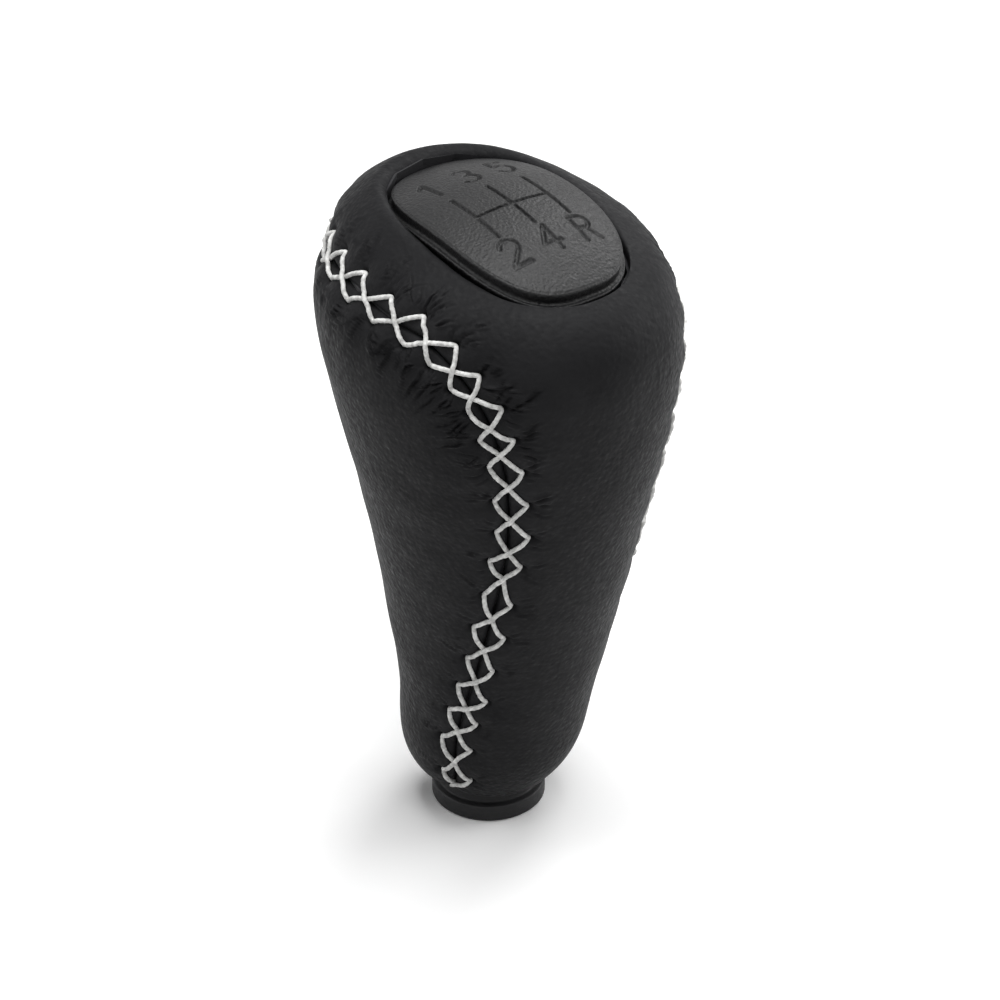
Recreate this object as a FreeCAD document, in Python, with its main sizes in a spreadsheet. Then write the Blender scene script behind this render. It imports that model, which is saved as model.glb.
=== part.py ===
import FreeCAD, Part
import math
import os
import Sketcher
from FreeCAD import Vector

# Leather covered gear knob: a moulded core on a threaded insert, two sewn leather
# panels, a criss-cross laced seam, a domed shift pattern cap and a lower collar.
# Origin at the centre of the collar's base, +Z up the lever, +X forward, +Y left.

# Driving dimensions in millimetres and degrees
SIZES = {
    "leather_thickness": 1.2,
    "bond_gap": 0.15,
    "seam_gap": 0.4,
    "fit_gap": 0.1,
    # Cap: a domed oval shell in the crown's recess
    "cap_half_length": 18.4,
    "cap_half_width": 11.8,
    "cap_squareness": 2.6,
    "cap_rise": 3.8,
    "cap_setback": 4.45,
    "cap_tilt": 4.0,
    "cap_dome_radius": 42.0,
    "cap_depth": 8.5,
    "cap_wall": 1.8,
    "cap_margin": 0.7,
    "peg_diameter": 4.0,
    "peg_length": 7.0,
    "peg_spacing": 16.0,
    # Shift pattern grooves on the dome
    "gate_spacing": 5.9,
    "gate_half_length": 5.3,
    "gate_setback": 0.75,
    "gate_line_width": 0.7,
    "gate_line_depth": 0.35,
    # Collar and threaded insert on the lever axis
    "collar_base_radius": 8.1,
    "collar_flange_radius": 8.4,
    "collar_chamfer_height": 0.3,
    "collar_flange_height": 2.6,
    "spigot_radius": 7.4,
    "spigot_top": 14.0,
    "lever_bore_radius": 5.6,
    "insert_across_corners": 15.0,
    "insert_length": 30.0,
    "thread_bore_radius": 4.25,
    "lever_hole_spare": 6.0,
    # Seam: up both sides of the rear tongue, then over the crown and down to the front
    "tongue_half_width": 13.4,
    "tongue_shift": -1.0,
    "tongue_front": 1.0,
    "tuck_height": 20.0,
    "tuck_radius": 38.0,
    "flare_start": 50.0,
    "flare_radius": 100.0,
    "crown_seam_height": 89.7,
    "crown_seam_tilt": 7.5,
    "crown_front_height": 90.2,
    "crown_front_tilt": -3.0,
    "crown_roll": 4.8,
    # Lacing thread
    "stitch_pitch": 6.4,
    "stitch_width": 4.8,
    "thread_radius": 0.42,
    "thread_lift": 0.15,
    "seam_end_margin": 2.5,
}

# Stations of the knob's outside from the neck up: height, half width, extra half
# length over the half width, setback to the rear, tilt of the section, and lean
# of the wall's outward normal above the horizontal
STATIONS = {
    "foot": (5.6, 9.9, 0.0, 0.0, 0.0, -65.0),
    "ankle": (8.6, 11.9, 0.02, 0.2, 0.0, -15.0),
    "neck": (20.2, 14.1, 0.1, 2.0, 0.0, -7.5),
    "waist": (34.2, 16.25, 0.3, 3.35, 0.0, -9.5),
    "grip": (48.2, 18.75, 0.6, 4.15, 0.4, -10.5),
    "shoulder": (70.2, 23.2, 1.6, 3.75, 1.9, -10.0),
    "belly": (78.4, 24.4, 2.4, 3.0, 2.9, -1.0),
    "crown": (91.2, 21.95, 4.5, 2.6, 5.6, 31.0),
    "brow": (95.1, 18.1, 4.9, 3.55, 7.6, 52.0),
    "rim": (96.8, 14.8, 5.1, 4.45, 9.8, 66.0),
}
STATION_SIZES = ("height", "half_width", "stretch", "setback", "tilt", "lean")

# Sizes that follow from others: the cap rises with the rim
FORMULAS = {"cap_top": "=rim_height + cap_rise"}

# How finely round forms are divided
OUTSIDE_STRIPS = 40
INSIDE_STRIPS = 18
OVAL_SIDES = 24
THREAD_SIDES = 4
DOME_RINGS = (1.0, 0.75, 0.4)
SHARPEST_MITRE = 0.5

doc = FreeCAD.newDocument("gear_knob")
sheet = doc.addObject("Spreadsheet::Sheet", "Sheet")


def fill_sheet():
    sizes = dict(SIZES)
    for station, values in STATIONS.items():
        for size_name, value in zip(STATION_SIZES, values):
            sizes[station + "_" + size_name] = value
    sizes.update(FORMULAS)
    for row, (alias, value) in enumerate(sizes.items(), start=1):
        sheet.set("A%d" % row, alias)
        sheet.set("B%d" % row, str(value))
        sheet.setAlias("B%d" % row, alias)
    doc.recompute()


def size(alias):
    return float(getattr(sheet, alias))


def bind(obj, **expressions):
    for name, expression in expressions.items():
        obj.setExpression(name, expression)
    return obj


def spot(x="0", y="0", z="0", tilt="0"):
    return "placement(vector(%s; %s; %s); rotation(vector(0; 1; 0); -(%s)))" % (x, y, z, tilt)


def cap_spot(x="0", y="0", z="0"):
    """A place in the cap's own frame, whose origin is the top of the dome."""
    frame = spot(x="-Sheet.cap_setback", z="Sheet.cap_top", tilt="Sheet.cap_tilt")
    return frame + " * " + spot(x, y, z)


def box(name, length, width, height, placement):
    obj = doc.addObject("Part::Box", name)
    return bind(obj, Length=length, Width=width, Height=height, Placement=placement)


def cylinder(name, radius, height, placement):
    obj = doc.addObject("Part::Cylinder", name)
    return bind(obj, Radius=radius, Height=height, Placement=placement)


def hexagon(name, across_corners, height, placement):
    obj = doc.addObject("Part::Prism", name)
    obj.Polygon = 6
    return bind(obj, Circumradius="(%s) / 2" % across_corners, Height=height, Placement=placement)


def pair(kind, name, base, tool):
    obj = doc.addObject(kind, name)
    obj.Base = base
    obj.Tool = tool
    return obj


def cut(name, base, tool):
    return pair("Part::Cut", name, base, tool)


def common(name, base, tool):
    return pair("Part::Common", name, base, tool)


def fuse(name, pieces):
    obj = doc.addObject("Part::MultiFuse", name)
    obj.Shapes = pieces
    return obj


def triangle(first, second, third):
    return Part.Face(Part.makePolygon([first, second, third, first]))


def facet_solid(rings, apex=None):
    """A closed solid over rings of points, capped flat or drawn up to an apex."""
    faces = []
    for lower, upper in zip(rings, rings[1:]):
        for index in range(len(lower)):
            after = (index + 1) % len(lower)
            faces.append(triangle(lower[index], lower[after], upper[after]))
            faces.append(triangle(lower[index], upper[after], upper[index]))
    last = rings[-1]
    faces.append(Part.Face(Part.makePolygon(rings[0] + rings[0][:1])))
    if apex is None:
        faces.append(Part.Face(Part.makePolygon(last + last[:1])))
    else:
        faces += [triangle(last[i - 1], last[i], apex) for i in range(len(last))]
    shell = Part.makeShell(faces)
    shell.sewShape()
    solid = Part.makeSolid(shell)
    if solid.Volume < 0:
        solid.reverse()
    return solid


def knob_rings(name, depth, strips):
    """Rings of points on the knob's bound elliptical sections, moved inwards by a depth."""
    rings = []
    for station in STATIONS:
        cell = "Sheet." + station + "_"
        inset = "(%s) * cos(%slean)" % (depth, cell)
        drop = "(%s) * sin(%slean)" % (depth, cell)
        section = doc.addObject("Part::Ellipse", name + "_" + station)
        bind(
            section,
            MajorRadius="%shalf_width + %sstretch - %s" % (cell, cell, inset),
            MinorRadius="%shalf_width - %s" % (cell, inset),
            Placement=spot("-%ssetback" % cell, "0", "%sheight - %s" % (cell, drop), cell + "tilt"),
        )
        section.recompute()
        edge = section.Shape.Edges[0]
        turn = (edge.LastParameter - edge.FirstParameter) / strips
        rings.append([edge.valueAt(edge.FirstParameter + turn * step) for step in range(strips)])
    return rings


def knob_outside():
    """The leather's outside: strips that run smoothly from the foot to the rim."""
    wires = [Part.makePolygon(ring + ring[:1]) for ring in knob_rings("outside", "0", OUTSIDE_STRIPS)]
    outside = doc.addObject("Part::Feature", "knob_outside")
    outside.Shape = Part.makeLoft(wires, True, False, False)
    return outside


def knob_inside(name, depth):
    inside = doc.addObject("Part::Feature", name)
    inside.Shape = facet_solid(knob_rings(name, depth, INSIDE_STRIPS))
    return inside


def oval_ring(grow, share, heights):
    """Points round the cap's oval outline, grown by a margin and drawn in to a share."""
    half_length = size("cap_half_length") + grow
    half_width = size("cap_half_width") + grow
    power = size("cap_squareness")
    points = []
    for step in range(OVAL_SIDES):
        angle = 2 * math.pi * step / OVAL_SIDES
        along = abs(math.cos(angle) / half_length) ** power
        across = abs(math.sin(angle) / half_width) ** power
        reach = share * (along + across) ** (-1 / power)
        points.append(Vector(reach * math.cos(angle), reach * math.sin(angle), heights(reach)))
    return points


def oval_prism(name, grow, top, bottom):
    rings = [oval_ring(grow, 1.0, lambda reach: bottom), oval_ring(grow, 1.0, lambda reach: top)]
    prism = doc.addObject("Part::Feature", name)
    prism.Shape = facet_solid(rings)
    return bind(prism, Placement=cap_spot())


def oval_dome(name, grow, drop, bottom):
    """An oval block under the cap's dome, with the dome lowered by a drop."""
    radius = size("cap_dome_radius")

    def dome_height(reach):
        return math.sqrt(radius**2 - reach**2) - radius - drop

    rings = [oval_ring(grow, 1.0, lambda reach: bottom)]
    rings += [oval_ring(grow, share, dome_height) for share in DOME_RINGS]
    block = doc.addObject("Part::Feature", name)
    block.Shape = facet_solid(rings, Vector(0, 0, -drop))
    return bind(block, Placement=cap_spot())


def value_of(expression):
    """The starting value of a cell or a zero, for a sketch before it is solved."""
    return size(expression.removeprefix("Sheet.")) if expression.startswith("Sheet.") else 0.0


def turned_body(name, profile):
    """A turned piece: a closed profile of radius and height cells about the Z axis."""
    body = doc.addObject("PartDesign::Body", name)
    sketch = body.newObject("Sketcher::SketchObject", name + "_profile")
    plane = next(f for f in body.Origin.OriginFeatures if f.Role == "XZ_Plane")
    sketch.AttachmentSupport = [(plane, "")]
    sketch.MapMode = "FlatFace"
    corners = [Vector(value_of(radius), value_of(height), 0) for radius, height in profile]
    count = len(corners)
    for index in range(count):
        sketch.addGeometry(Part.LineSegment(corners[index], corners[(index + 1) % count]))
    for index in range(count):
        sketch.addConstraint(Sketcher.Constraint("Coincident", index, 2, (index + 1) % count, 1))
    for index, (radius, height) in enumerate(profile):
        start = corners[index]
        across = Sketcher.Constraint("DistanceX", -1, 1, index, 1, start.x)
        sketch.setExpression("Constraints[%d]" % sketch.addConstraint(across), radius)
        if height == "0":
            sketch.addConstraint(Sketcher.Constraint("PointOnObject", index, 1, -1))
        else:
            up = Sketcher.Constraint("DistanceY", -1, 1, index, 1, start.y)
            sketch.setExpression("Constraints[%d]" % sketch.addConstraint(up), height)
    turned = body.newObject("PartDesign::Revolution", name + "_turned")
    turned.Profile = sketch
    turned.ReferenceAxis = (sketch, ["V_Axis"])
    turned.Angle = 360
    body.Tip = turned
    return body


def lower_collar():
    """Flanged bush: chamfered flange below the leather, spigot up into the core."""
    return turned_body(
        "lower_collar",
        [
            ("Sheet.lever_bore_radius", "0"),
            ("Sheet.collar_base_radius", "0"),
            ("Sheet.collar_flange_radius", "Sheet.collar_chamfer_height"),
            ("Sheet.collar_flange_radius", "Sheet.collar_flange_height"),
            ("Sheet.spigot_radius", "Sheet.collar_flange_height"),
            ("Sheet.spigot_radius", "Sheet.spigot_top"),
            ("Sheet.lever_bore_radius", "Sheet.spigot_top"),
        ],
    )


def lever_insert():
    """Hexagonal sleeve, bored for the lever's thread, standing on the collar's spigot."""
    seat = spot(z="Sheet.spigot_top")
    sleeve = hexagon("insert_sleeve", "Sheet.insert_across_corners", "Sheet.insert_length", seat)
    bore = cylinder("insert_bore", "Sheet.thread_bore_radius", "Sheet.insert_length", seat)
    return cut("lever_insert", sleeve, bore)


def cap_pegs(name, grow, spare):
    """Two round pegs under the cap, or their holes when grown."""
    pegs = []
    for index, side in enumerate((1, -1)):
        foot = cap_spot(
            x="%d * Sheet.peg_spacing / 2" % side,
            z="-Sheet.cap_depth - Sheet.peg_length - %s" % spare,
        )
        height = "Sheet.cap_depth + Sheet.peg_length + %s - Sheet.cap_wall" % spare
        radius = "Sheet.peg_diameter / 2 + %s" % grow
        pegs.append(cylinder("%s_%d" % (name, index + 1), radius, height, foot))
    return pegs


def gate_grooves():
    """Crossbar and three columns of the shift pattern, sunk to an even depth."""
    line = "Sheet.gate_line_width"
    low = "-Sheet.cap_depth / 2"
    corner = cap_spot("-Sheet.gate_setback - %s / 2" % line, "-Sheet.gate_spacing - %s / 2" % line, low)
    bars = [box("gate_crossbar", line, "2 * Sheet.gate_spacing + " + line, "Sheet.cap_depth", corner)]
    for column in (-1, 0, 1):
        corner = cap_spot(
            "-Sheet.gate_setback - Sheet.gate_half_length",
            "%d * Sheet.gate_spacing - %s / 2" % (column, line),
            low,
        )
        name = "gate_column_%d" % (column + 2)
        bars.append(box(name, "2 * Sheet.gate_half_length", line, "Sheet.cap_depth", corner))
    floor = oval_dome("gate_floor", 0.0, size("gate_line_depth"), -size("cap_depth"))
    return cut("gate_grooves", fuse("gate_bars", bars), floor)


def shift_pattern_cap():
    """Domed shell with two pegs below and the shift pattern sunk in its top."""
    bottom = -size("cap_depth")
    wall = size("cap_wall")
    blank = oval_dome("cap_blank", 0.0, 0.0, bottom)
    hollow = oval_dome("cap_hollow", -wall, wall, bottom - wall)
    shell = cut("cap_shell", blank, hollow)
    pegged = fuse("cap_pegged", [shell] + cap_pegs("cap_peg", "0", "0"))
    return cut("shift_pattern_cap", pegged, gate_grooves())


def seam_tool(name, grow):
    """Everything on the crown and rear tongue's side of the seam, grown by a gap."""
    reach = "2 * Sheet.cap_top"
    half = "(Sheet.tongue_half_width + %s)" % grow
    tuck = "(Sheet.tuck_radius + %s)" % grow
    flare = "(Sheet.flare_radius - %s)" % grow
    rear = "-Sheet.tongue_front + %s - %s" % (grow, reach)
    sideways = " * placement(vector(0; 0; 0); rotation(vector(0; 1; 0); 90))"

    def rolls(kind, radius, offset, z):
        """A left and a right cylinder along X, as far off the middle as the offset says."""
        return [
            cylinder("%s_%s_%d" % (name, kind, side + 2), radius, reach,
                     spot(rear, "Sheet.tongue_shift + %d * (%s)" % (side, offset), z) + sideways)
            for side in (-1, 1)
        ]

    strip = box(
        name + "_strip", reach, "2 * " + half, "Sheet.cap_top - Sheet.tuck_height",
        spot(rear, "Sheet.tongue_shift - " + half, "Sheet.tuck_height"),
    )
    tucks = rolls("tuck", tuck, half + " - " + tuck, "Sheet.tuck_height")
    flares = rolls("flare", flare, half + " + " + flare, "Sheet.flare_start")
    wide = box(
        name + "_wide", reach, reach, "Sheet.cap_top - Sheet.flare_start",
        spot(rear, "-Sheet.cap_top", "Sheet.flare_start"),
    )
    flared = cut(name + "_flared", wide, fuse(name + "_flares", flares))
    tucked = common(name + "_tucked", *tucks)

    def above(part):
        """Everything over one of the two planes that the crown's seam follows, lower on the right."""
        plane = spot(z="Sheet.%s_height - %s" % (part, grow), tilt="Sheet.%s_tilt" % part)
        roll = "placement(vector(0; 0; 0); rotation(vector(1; 0; 0); Sheet.crown_roll))"
        corner = plane + " * " + roll + " * " + spot("-Sheet.cap_top", "-Sheet.cap_top")
        return box(name + "_" + part, reach, reach, reach, corner)

    return fuse(name, [strip, tucked, flared, above("crown_seam"), above("crown_front")])


def leather_cover(outside):
    """The sewn cover: outside less inside, open at the recess and at the neck's foot."""
    inside = knob_inside("cover_inside", "Sheet.leather_thickness")
    depth = size("cap_depth")
    recess = oval_prism("cover_opening", size("cap_margin"), depth, -2 * depth)
    mouth = cylinder("cover_mouth", "Sheet.collar_flange_radius", "Sheet.ankle_height", spot())
    return cut("leather_cover", outside, fuse("cover_tools", [inside, recess, mouth]))


def knob_core():
    """Moulded core: recess for the cap, holes for its pegs, pockets for insert and collar."""
    solid = knob_inside("core_outside", "Sheet.leather_thickness + Sheet.bond_gap")
    depth = size("cap_depth")
    recess = oval_prism("core_recess", size("cap_margin"), depth, -depth)
    spigot = cylinder("spigot_pocket", "Sheet.spigot_radius + Sheet.fit_gap", "Sheet.spigot_top", spot())
    insert = hexagon(
        "insert_pocket",
        "Sheet.insert_across_corners + 2 * Sheet.fit_gap",
        "Sheet.insert_length + Sheet.fit_gap",
        spot(z="Sheet.spigot_top"),
    )
    lever = cylinder(
        "lever_hole",
        "Sheet.lever_bore_radius",
        "Sheet.insert_length + Sheet.lever_hole_spare",
        spot(z="Sheet.spigot_top"),
    )
    pegs = cap_pegs("peg_hole", "Sheet.fit_gap", "Sheet.fit_gap")
    return cut("knob_core", solid, fuse("core_tools", [recess, spigot, insert, lever] + pegs))


def seam_path(outside, tool):
    """The seam's line over the leather's outside, from one end at the foot to the other."""
    foot = size("foot_height") + size("seam_end_margin")
    edges = [e for e in outside.Shape.section(tool.Shape).Edges if e.BoundBox.ZMax > foot]
    chains = Part.sortEdges(edges)
    longest = max(chains, key=lambda chain: sum(e.Length for e in chain))
    return Part.Wire(longest)


def lacing(outside, tool):
    """Two threads that zigzag across the seam and cross on it between every two holes."""
    skin = outside.Shape.Shells[0]
    hold_off = size("leather_thickness")
    half = size("stitch_width") / 2
    low = size("thread_radius") + size("thread_lift")
    high = low + 2 * size("thread_radius") + size("thread_lift")
    path = seam_path(outside, tool)
    stitches = int(path.Length / size("stitch_pitch"))
    marks = path.discretize(Number=2 * stitches + 1)
    middle = Vector(-size("belly_setback"), 0, 0)

    def over_skin(point, guide, height):
        """The point's place at a height over the leather, and the leather's normal there."""
        held = point + guide * hold_off
        near = skin.distToShape(Part.Vertex(held))[1][0][0]
        normal = (held - near).normalize()
        return near + normal * height, normal

    routes = ([], [])
    for index in range(1, len(marks) - 1):
        along = (marks[index + 1] - marks[index - 1]).normalize()
        outward = marks[index] - middle
        outward.z = 0
        normal = over_skin(marks[index], outward.normalize(), 0)[1]
        side = along.cross(normal).normalize()
        stitch, crossing = divmod(index, 2)
        for thread, route in enumerate(routes):
            sign = 1 if (stitch + thread) % 2 else -1
            if crossing:
                route.append(over_skin(marks[index], normal, high if thread else low))
            else:
                route.append(over_skin(marks[index] + side * (sign * half), normal, low))
    return routes


def thread_node(name, route):
    """A thread of square section, mitred at every bend of its route."""
    radius = size("thread_radius")
    rings = []
    for index, (point, normal) in enumerate(route):
        before = route[max(index - 1, 0)][0]
        after = route[min(index + 1, len(route) - 1)][0]
        into = point - before if index else after - point
        out = after - point if index + 1 < len(route) else into
        along = (into.normalize() + out.normalize()).normalize()
        mitre = 1 / max(along.dot(out.normalize()), SHARPEST_MITRE)
        across = along.cross(normal).normalize()
        up = across.cross(along).normalize()
        ring = []
        for corner in range(THREAD_SIDES):
            angle = 2 * math.pi * (corner + 0.5) / THREAD_SIDES
            sideways = across * (radius * mitre * math.cos(angle))
            ring.append(point + sideways + up * (radius * math.sin(angle)))
        rings.append(ring)
    thread = doc.addObject("Part::Feature", name)
    thread.Shape = facet_solid(rings)
    return thread


fill_sheet()
outside = knob_outside()
cover = leather_cover(outside)
panel_tool = seam_tool("seam_tool", "0")
gap_tool = seam_tool("seam_gap_tool", "Sheet.seam_gap")
nodes = [
    common("crown_back_leather", cover, panel_tool),
    cut("front_wrap_leather", cover, gap_tool),
    knob_core(),
    shift_pattern_cap(),
    lower_collar(),
    lever_insert(),
]
doc.recompute()
for name, route in zip(("lacing_thread_a", "lacing_thread_b"), lacing(outside, gap_tool)):
    nodes.append(thread_node(name, route))
doc.recompute()

for obj in doc.Objects:
    if "Invalid" in obj.State or "Error" in obj.State:
        raise RuntimeError("failed: " + obj.Name)
os.makedirs("parts", exist_ok=True)
for node in nodes:
    shape = node.Shape
    if shape.isNull() or not shape.isValid():
        raise RuntimeError("bad shape: " + node.Label)
    print(node.Label, len(shape.Solids), round(shape.Volume, 1))
    shape.exportStep("parts/%s.step" % node.Label)
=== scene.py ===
import math

import bpy
import numpy as np
from mathutils import Matrix, Vector, kdtree


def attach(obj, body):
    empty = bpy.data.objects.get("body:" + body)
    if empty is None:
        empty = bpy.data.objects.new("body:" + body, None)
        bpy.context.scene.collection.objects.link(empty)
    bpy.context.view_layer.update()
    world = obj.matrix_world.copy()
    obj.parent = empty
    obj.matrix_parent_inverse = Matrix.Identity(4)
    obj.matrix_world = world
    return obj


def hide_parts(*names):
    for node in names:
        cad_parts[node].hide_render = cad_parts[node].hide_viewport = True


# Looks of a leather covered gear knob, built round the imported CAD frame.
# Lengths are millimetres in the part's frame until a mesh is made, which is in metres.
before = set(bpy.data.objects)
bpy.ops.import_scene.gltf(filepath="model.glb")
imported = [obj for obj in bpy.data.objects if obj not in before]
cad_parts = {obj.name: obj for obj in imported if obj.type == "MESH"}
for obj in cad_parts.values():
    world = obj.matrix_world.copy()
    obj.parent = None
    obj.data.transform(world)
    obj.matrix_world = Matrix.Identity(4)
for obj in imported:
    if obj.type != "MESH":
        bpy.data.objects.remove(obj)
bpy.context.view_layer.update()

MM = 0.001
SEED = 7
rng = np.random.default_rng(SEED)

# Sections of the knob's outside: height, half width, extra half length, setback, tilt
STATIONS = np.array([
    (5.6, 9.9, 0.0, 0.0, 0.0),
    (8.6, 11.9, 0.02, 0.2, 0.0),
    (20.2, 14.1, 0.1, 2.0, 0.0),
    (34.2, 16.25, 0.3, 3.35, 0.0),
    (48.2, 18.75, 0.6, 4.15, 0.4),
    (70.2, 23.2, 1.6, 3.75, 1.9),
    (78.4, 24.4, 2.4, 3.0, 2.9),
    (91.2, 21.95, 4.5, 2.6, 5.6),
    (95.1, 18.1, 4.9, 3.55, 7.6),
    (96.8, 14.8, 5.1, 4.45, 9.8),
])
GRIP = 4

# Cap and its recess in the crown
CAP_HALF_LENGTH = 18.4
CAP_HALF_WIDTH = 11.8
CAP_SQUARENESS = 2.6
CAP_TOP = 100.6
CAP_SETBACK = 4.45
CAP_TILT = math.radians(4.0)
CAP_DOME_RADIUS = 42.0
CAP_MARGIN = 0.7

# Seam between the crown and rear tongue and the front wrap
TONGUE_HALF_WIDTH = 13.4
TONGUE_SHIFT = -1.0
TUCK_HEIGHT = 20.0
TUCK_RADIUS = 38.0
FLARE_START = 50.0
FLARE_RADIUS = 100.0
CROWN_SEAM_HEIGHT = 89.7
CROWN_SEAM_SLOPE = math.tan(math.radians(7.5))
CROWN_FRONT_HEIGHT = 90.2
CROWN_FRONT_SLOPE = math.tan(math.radians(-3.0))
CROWN_ROLL_SLOPE = math.tan(math.radians(4.8))
CROWN_SEAM_EASE = 0.5

# Collar below the leather
LEVER_BORE_RADIUS = 5.6
COLLAR_BASE_RADIUS = 8.1
COLLAR_FLANGE_RADIUS = 8.4
COLLAR_CHAMFER_HEIGHT = 0.3
COLLAR_FLANGE_HEIGHT = 2.6
SPIGOT_RADIUS = 7.4
SPIGOT_TOP = 14.0

# How finely the leather is divided
FRONT_COLUMNS = 252
TONGUE_COLUMNS = 120
PANEL_ROWS = 380
RING_ROWS = 80
TUCK_ROWS = 10
ROLL_ROWS = 26
ROW_CROWDING = 0.5
FRONT_CROWDING = 0.7
TONGUE_CROWDING = 0.6
RING_CROWDING = 0.6
SOLVER_STEPS = 40

# Places where the threads cross, measured up the left seam, and their usual pitch
LOW_CROSSINGS = (3.5, 10.2, 17.1, 22.5, 28.6, 35.5, 42.2, 50.3, 55.6, 61.8, 67.8, 73.5, 78.2,
                 83.2, 87.7, 92.8, 98.9, 105.7, 112.3, 119.0)
STITCH_PITCH = 6.15
CROWN_HOLE_OFFSET = 2.5
WRAP_HOLE_OFFSET = 1.9
CROWN_HOLE_SHARE = 0.42
WRAP_HOLE_SHARE = 0.58
HOLE_SHARE_SPREAD = 0.06
CROWN_OFFSET_SPREAD = (-0.3, 0.4)
WRAP_OFFSET_SPREAD = (-0.25, 0.35)
THREAD_RADIUS = 0.345


# Shape of the knob's outside

def natural_bends(knots, values):
    """Second derivatives of a natural cubic spline through each column of values."""
    count = len(knots)
    step = np.diff(knots)
    slope = np.diff(values, axis=0) / step[:, None]
    matrix = np.eye(count)
    right = np.zeros_like(values)
    for i in range(1, count - 1):
        matrix[i, i - 1:i + 2] = step[i - 1], 2 * (step[i - 1] + step[i]), step[i]
        right[i] = 6 * (slope[i] - slope[i - 1])
    return np.linalg.solve(matrix, right)


RUNS = np.hypot(np.diff(STATIONS[:, 0]), np.diff(STATIONS[:, 1]))
KNOTS = np.concatenate([[0.0], np.cumsum(RUNS)])
BENDS = natural_bends(KNOTS, STATIONS)
FULL_RUN = KNOTS[-1]


def sections(run):
    """Section sizes at a run up the knob's side."""
    run = np.asarray(run, float)
    low = np.clip(np.searchsorted(KNOTS, run, side="right") - 1, 0, len(KNOTS) - 2)
    span = (KNOTS[low + 1] - KNOTS[low])[..., None]
    before = (KNOTS[low + 1] - run)[..., None] / span
    after = 1 - before
    curve = (before**3 - before) * BENDS[low] + (after**3 - after) * BENDS[low + 1]
    sizes = before * STATIONS[low] + after * STATIONS[low + 1] + curve * span**2 / 6
    return np.moveaxis(sizes, -1, 0)


def skin(angle, run):
    """Points of the smooth outside at an angle from the front and a run up the side."""
    height, half, stretch, setback, tilt = sections(run)
    tilt = np.radians(tilt)
    along = (half + stretch) * np.cos(angle)
    across = half * np.sin(angle)
    return np.stack([along * np.cos(tilt) - setback, across, along * np.sin(tilt) + height], -1)


def tongue_half(height):
    """Half width of the rear tongue, drawn in at the foot and flared to the crown."""
    below = np.clip(TUCK_HEIGHT - height, 0, TUCK_RADIUS)
    above = np.clip(height - FLARE_START, 0, FLARE_RADIUS)
    tuck = TUCK_RADIUS - np.sqrt(TUCK_RADIUS**2 - below**2)
    flare = FLARE_RADIUS - np.sqrt(FLARE_RADIUS**2 - above**2)
    return TONGUE_HALF_WIDTH - tuck + flare


def tongue_angle(run, side):
    """Angle from the rear, either way round, of the tongue's edge on the side given by a sign."""
    height, half, stretch, setback, tilt = sections(run)
    angle = np.full(np.shape(run), 0.25 * math.pi)
    for _ in range(SOLVER_STEPS):
        z = height - (half + stretch) * np.cos(angle) * np.sin(np.radians(tilt))
        angle = np.arcsin(np.clip((tongue_half(z) + side * TONGUE_SHIFT) / half, -1, 1))
    return math.pi - side * angle


def under_crown_seam(points):
    """Whether points lie below the two planes of the crown's seam, blended where they cross."""
    x, y = points[..., 0], points[..., 1]
    rear = CROWN_SEAM_HEIGHT + CROWN_SEAM_SLOPE * x
    front = CROWN_FRONT_HEIGHT + CROWN_FRONT_SLOPE * x
    lower = (rear + front - np.sqrt((rear - front) ** 2 + CROWN_SEAM_EASE**2)) / 2
    return points[..., 2] < lower + CROWN_ROLL_SLOPE * y


def halved(low, high, is_low):
    """The run between low and high at which a test stops holding."""
    for _ in range(SOLVER_STEPS):
        middle = (low + high) / 2
        held = is_low(middle)
        low = np.where(held, middle, low)
        high = np.where(held, high, middle)
    return (low + high) / 2


def crown_run(angle):
    low = np.full(np.shape(angle), KNOTS[GRIP])
    high = np.full(np.shape(angle), FULL_RUN)
    return halved(low, high, lambda run: under_crown_seam(skin(angle, run)))


def corner_run(side):
    """Run at which the tongue's edge turns into the crown's seam."""
    def is_low(run):
        return under_crown_seam(skin(tongue_angle(run, side), run))

    return halved(KNOTS[GRIP], FULL_RUN, is_low)


# Shares of a span, crowded where the detail is

def crowd_ends(count, grade):
    even = np.linspace(0, 1, count)
    return even - grade * np.sin(2 * math.pi * even) / (2 * math.pi)


def crowd_last(count, grade):
    even = np.linspace(0, 1, count)
    return even + grade * np.sin(math.pi * even) / math.pi


def crowd_first(count, grade):
    even = np.linspace(0, 1, count)
    return even - grade * np.sin(math.pi * even) / math.pi


def ease(share):
    share = np.clip(share, 0, 1)
    return share * share * (3 - 2 * share)


# Mesh helpers

def grid_faces(index, closed=False):
    """Quads over a grid of vertex numbers, joined round where closed."""
    if closed:
        index = np.concatenate([index, index[:, :1]], axis=1)
    corners = (index[:-1, :-1], index[:-1, 1:], index[1:, 1:], index[1:, :-1])
    return np.stack([c.ravel() for c in corners], -1)


def make_piece(name, points, faces, flip=False, fan=()):
    """A piece on the root body, made of quads and, where given, a fan of triangles."""
    mesh = bpy.data.meshes.new(name)
    order = faces[:, ::-1] if flip else faces
    mesh.from_pydata((points * MM).tolist(), [], order.tolist() + list(fan))
    mesh.polygons.foreach_set("use_smooth", np.ones(len(mesh.polygons), bool))
    mesh.update()
    piece = bpy.data.objects.new(name, mesh)
    bpy.context.scene.collection.objects.link(piece)
    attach(piece, "root")
    return piece


def points_of(piece):
    flat = np.empty(len(piece.data.vertices) * 3)
    piece.data.vertices.foreach_get("co", flat)
    return flat.reshape(-1, 3) / MM


def normals_of(piece):
    flat = np.empty(len(piece.data.vertices) * 3)
    piece.data.vertex_normals.foreach_get("vector", flat)
    return flat.reshape(-1, 3)


def move_points(piece, points):
    piece.data.vertices.foreach_set("co", (points * MM).ravel())
    piece.data.update()


# Leather panels on their smooth base

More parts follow.
